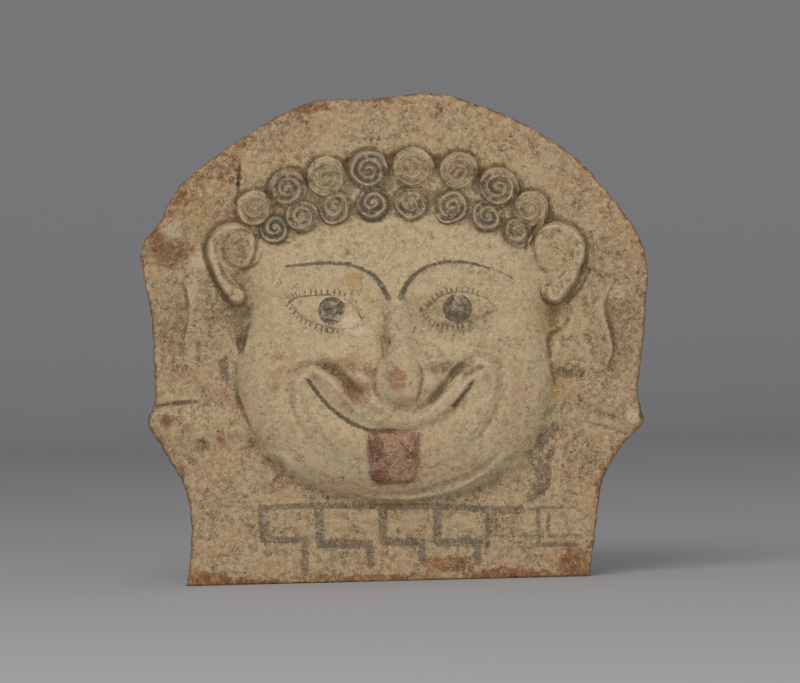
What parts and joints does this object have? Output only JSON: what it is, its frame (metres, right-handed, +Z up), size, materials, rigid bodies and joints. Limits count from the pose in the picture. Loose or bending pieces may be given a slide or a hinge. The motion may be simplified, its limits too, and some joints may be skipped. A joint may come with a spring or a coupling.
{
  "type": "gorgon antefix",
  "caption": "Fired clay roof-edge ornament: an arched slab pressed with a grinning gorgon mask, curls, ears and snakes, standing on a flat base.",
  "frame": {"origin": "middle of the bounding box at the underside, on the surface that the antefix stands on", "axes": "+X to the right as the face is seen from the front, +Y from the face to the back, +Z up"},
  "size_m": [0.2032, 0.051, 0.195],
  "materials": {
    "fired_clay": "matt buff slip over orange clay, worn, with remains of black and dull red paint"
  },
  "bodies": {
    "root": {"antefix": "fired_clay"}
  },
  "joints": []
}
